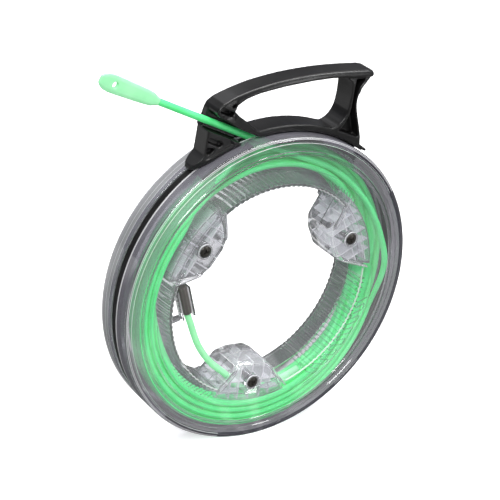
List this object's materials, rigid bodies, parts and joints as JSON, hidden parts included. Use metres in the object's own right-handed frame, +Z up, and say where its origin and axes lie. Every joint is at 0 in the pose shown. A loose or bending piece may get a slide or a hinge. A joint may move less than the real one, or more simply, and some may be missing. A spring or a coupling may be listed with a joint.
{
  "type": "fish tape reel",
  "caption": "Ring-shaped clear reel of round green fish tape that turns in a black carrying handle, with the flat pulling eye coming out through the handle's nose.",
  "frame": {"origin": "the hand hold, in the middle of the opening under the grip, 200 mm straight above the case's axis", "axes": "+Z up from the case axis through the grip, +Y along the case's axis towards the rear face, so the screw heads face -Y and the tape leaves towards -X"},
  "size_m": [0.3389, 0.048, 0.3745],
  "materials": {
    "clear_case": "clear smoky polycarbonate, polished",
    "black_handle": "satin black moulded plastic",
    "black_strip": "matt black extruded plastic",
    "black_screw": "black oxide steel",
    "insert_brass": "plain turned brass",
    "tape_green": "glow-in-the-dark green sleeve, semi-gloss",
    "eye_green": "pale glow-in-the-dark green, satin",
    "ferrule_dark": "dark crimped sleeve with lengthwise flutes"
  },
  "bodies": {
    "handle": {"handle": "black_handle", "slot_strip": "black_strip"},
    "case": {"front_shell": "clear_case", "rear_shell": "clear_case", "case_screw_1": "black_screw", "case_screw_2": "black_screw", "case_screw_3": "black_screw", "threaded_insert_1": "insert_brass", "threaded_insert_2": "insert_brass", "threaded_insert_3": "insert_brass", "tape_coil": "tape_green", "tape_tail": "eye_green", "tail_ferrule": "ferrule_dark", "tail_cradle": "clear_case"},
    "tape": {"tape_lead": "tape_green", "pulling_eye": "eye_green"}
  },
  "joints": [
    {"name": "case_spin", "type": "hinge", "parent": "handle", "child": "case", "pos_m": [0, 0, -0.2], "axis": [0, 1, 0], "continuous": true},
    {"name": "tape_slide", "type": "slide", "parent": "handle", "child": "tape", "axis": [-0.9128, 0, 0.4083], "range_m": [-0.055, 0.06]}
  ]
}
